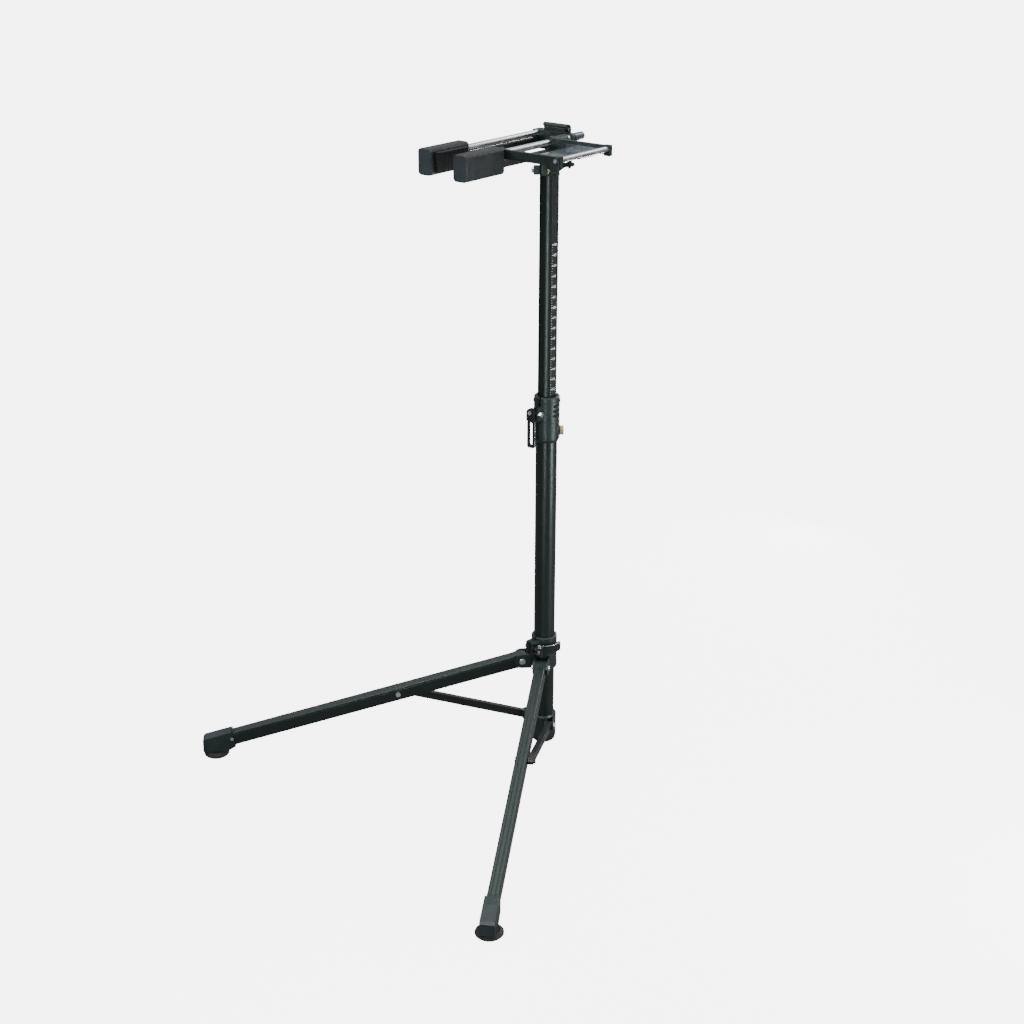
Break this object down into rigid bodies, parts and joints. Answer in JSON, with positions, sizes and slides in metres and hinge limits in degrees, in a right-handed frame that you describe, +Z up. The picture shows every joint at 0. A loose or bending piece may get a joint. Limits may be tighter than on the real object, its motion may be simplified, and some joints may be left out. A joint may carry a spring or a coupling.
{
  "type": "bike repair stand",
  "caption": "Folding repair stand: round mast on a rubber foot, folding legs with struts, telescopic grooved upper mast and seat-post clamp with a bail lever.",
  "frame": {"origin": "centre of the mast foot's underside, on the floor", "axes": "+Z up the mast, -Y the way the clamp arms reach, +X towards the bail lever's grip bar"},
  "size_m": [0.8665, 0.6982, 1.253],
  "materials": {
    "tube_black": "satin anodised",
    "cast_plastic": "fine moulded texture",
    "strut_black": "satin powder coat",
    "lever_black": "semi-gloss",
    "rubber_black": "matt",
    "rod_silver": "brushed",
    "zinc": "zinc plated",
    "brass_nut": "yellow passivated",
    "jaw_grey": "soft moulded",
    "plate_grey": "glossy coat"
  },
  "bodies": {
    "base": {"mast_foot": "rubber_black", "base_bracket": "cast_plastic", "strut_pivot_pins": "zinc", "lower_mast": "tube_black", "mast_collar": "cast_plastic", "key_sleeve": "rubber_black", "mast_clamp_bolt": "zinc", "mast_lock_screw": "zinc", "index_knob": "brass_nut"},
    "mast_lever": {"mast_lever": "lever_black", "mast_lever_pin": "zinc"},
    "leg_carriage": {"leg_collar": "cast_plastic", "leg_clamp_bolt": "zinc", "leg_pivot_bolts": "zinc"},
    "leg_lever": {"leg_lever": "lever_black", "leg_lever_pin": "zinc"},
    "left_leg": {"left_leg_tube": "tube_black", "left_leg_hinge": "cast_plastic", "left_foot_cap": "cast_plastic", "left_foot_pad": "rubber_black", "left_strut_bolt": "zinc"},
    "right_leg": {"right_leg_tube": "tube_black", "right_leg_hinge": "cast_plastic", "right_foot_cap": "cast_plastic", "right_foot_pad": "rubber_black", "right_strut_bolt": "zinc"},
    "left_strut": {"left_strut": "strut_black"},
    "right_strut": {"right_strut": "strut_black"},
    "head": {"upper_mast": "tube_black", "guide_plug": "rubber_black", "head_block": "cast_plastic", "head_bolt": "zinc", "head_nut": "brass_nut", "clamp_frame": "cast_plastic", "guide_rods": "rod_silver", "bail_stop": "rubber_black", "front_rod": "rod_silver", "rod_end_cap": "cast_plastic", "rod_end_screw": "zinc"},
    "rear_jaw": {"rear_housing": "cast_plastic", "rear_rod": "rod_silver", "rear_arm": "strut_black", "rear_jaw": "jaw_grey", "rear_pad": "rubber_black", "rear_jaw_cap": "jaw_grey", "paddle_pin": "zinc"},
    "release_lever": {"release_paddle": "cast_plastic"},
    "front_jaw": {"front_carriage": "cast_plastic", "front_arm": "strut_black", "front_jaw": "jaw_grey", "front_pad": "rubber_black", "front_jaw_cap": "jaw_grey"},
    "bail": {"bail_far_arm": "cast_plastic", "bail_near_arm": "cast_plastic", "bail_grip_bar": "rod_silver", "bail_plate": "plate_grey", "bail_catch": "cast_plastic", "bail_screws": "zinc"}
  },
  "joints": [
    {"name": "mast_extend", "type": "slide", "parent": "base", "child": "head", "axis": [0, 0, 1], "range_m": [-0.4, 0.15]},
    {"name": "mast_lever_swing", "type": "hinge", "parent": "base", "child": "mast_lever", "pos_m": [-0.01216, -0.03393, 0.722], "axis": [-0.0698, 0.9976, 0], "range_deg": [0, 100]},
    {"name": "leg_fold", "type": "slide", "parent": "base", "child": "leg_carriage", "axis": [0, 0, 1], "range_m": [0, 0.39282]},
    {"name": "leg_lever_swing", "type": "hinge", "parent": "leg_carriage", "child": "leg_lever", "pos_m": [0.01678, -0.03778, 0.222], "axis": [0, 0, -1], "range_deg": [0, 100]},
    {"name": "left_leg_hinge", "type": "hinge", "parent": "leg_carriage", "child": "left_leg", "pos_m": [-0.03298, -0.03207, 0.187], "axis": [0.6972, -0.7169, 0], "range_deg": [0, 68]},
    {"name": "left_strut_hinge", "type": "hinge", "parent": "base", "child": "left_strut", "pos_m": [-0.02438, -0.0237, 0.0485], "axis": [-0.6972, 0.7169, 0], "range_deg": [0, 64.5]},
    {"name": "right_leg_hinge", "type": "hinge", "parent": "leg_carriage", "child": "right_leg", "pos_m": [0.02258, -0.04008, 0.187], "axis": [0.8712, 0.4909, 0], "range_deg": [0, 68]},
    {"name": "right_strut_hinge", "type": "hinge", "parent": "base", "child": "right_strut", "pos_m": [0.01669, -0.02962, 0.0485], "axis": [-0.8712, -0.4909, 0], "range_deg": [0, 64.5]},
    {"name": "rear_jaw_slide", "type": "slide", "parent": "head", "child": "rear_jaw", "axis": [-1, 0, 0], "range_m": [-0.013, 0.02]},
    {"name": "release_press", "type": "hinge", "parent": "rear_jaw", "child": "release_lever", "pos_m": [-0.0325, 0.0665, 1.244], "axis": [1, 0, 0], "range_deg": [0, 25], "stiffness_Nm_per_rad": 0.4, "springref_deg": -8.59},
    {"name": "bail_swing", "type": "hinge", "parent": "head", "child": "bail", "pos_m": [0.013, 0, 1.234], "axis": [0, -1, 0], "range_deg": [0, 60]},
    {"name": "front_jaw_slide", "type": "slide", "parent": "head", "child": "front_jaw", "axis": [1, 0, 0], "range_m": [0, 0.01605]}
  ],
  "couplings": [
    {"joint": "left_leg_hinge", "follows": "leg_fold", "rad_per_m": 3.0124},
    {"joint": "right_leg_hinge", "follows": "leg_fold", "rad_per_m": 3.0124},
    {"joint": "left_strut_hinge", "follows": "leg_fold", "rad_per_m": 2.8569},
    {"joint": "right_strut_hinge", "follows": "leg_fold", "rad_per_m": 2.8569},
    {"joint": "front_jaw_slide", "follows": "bail_swing", "m_per_rad": 0.015279}
  ]
}
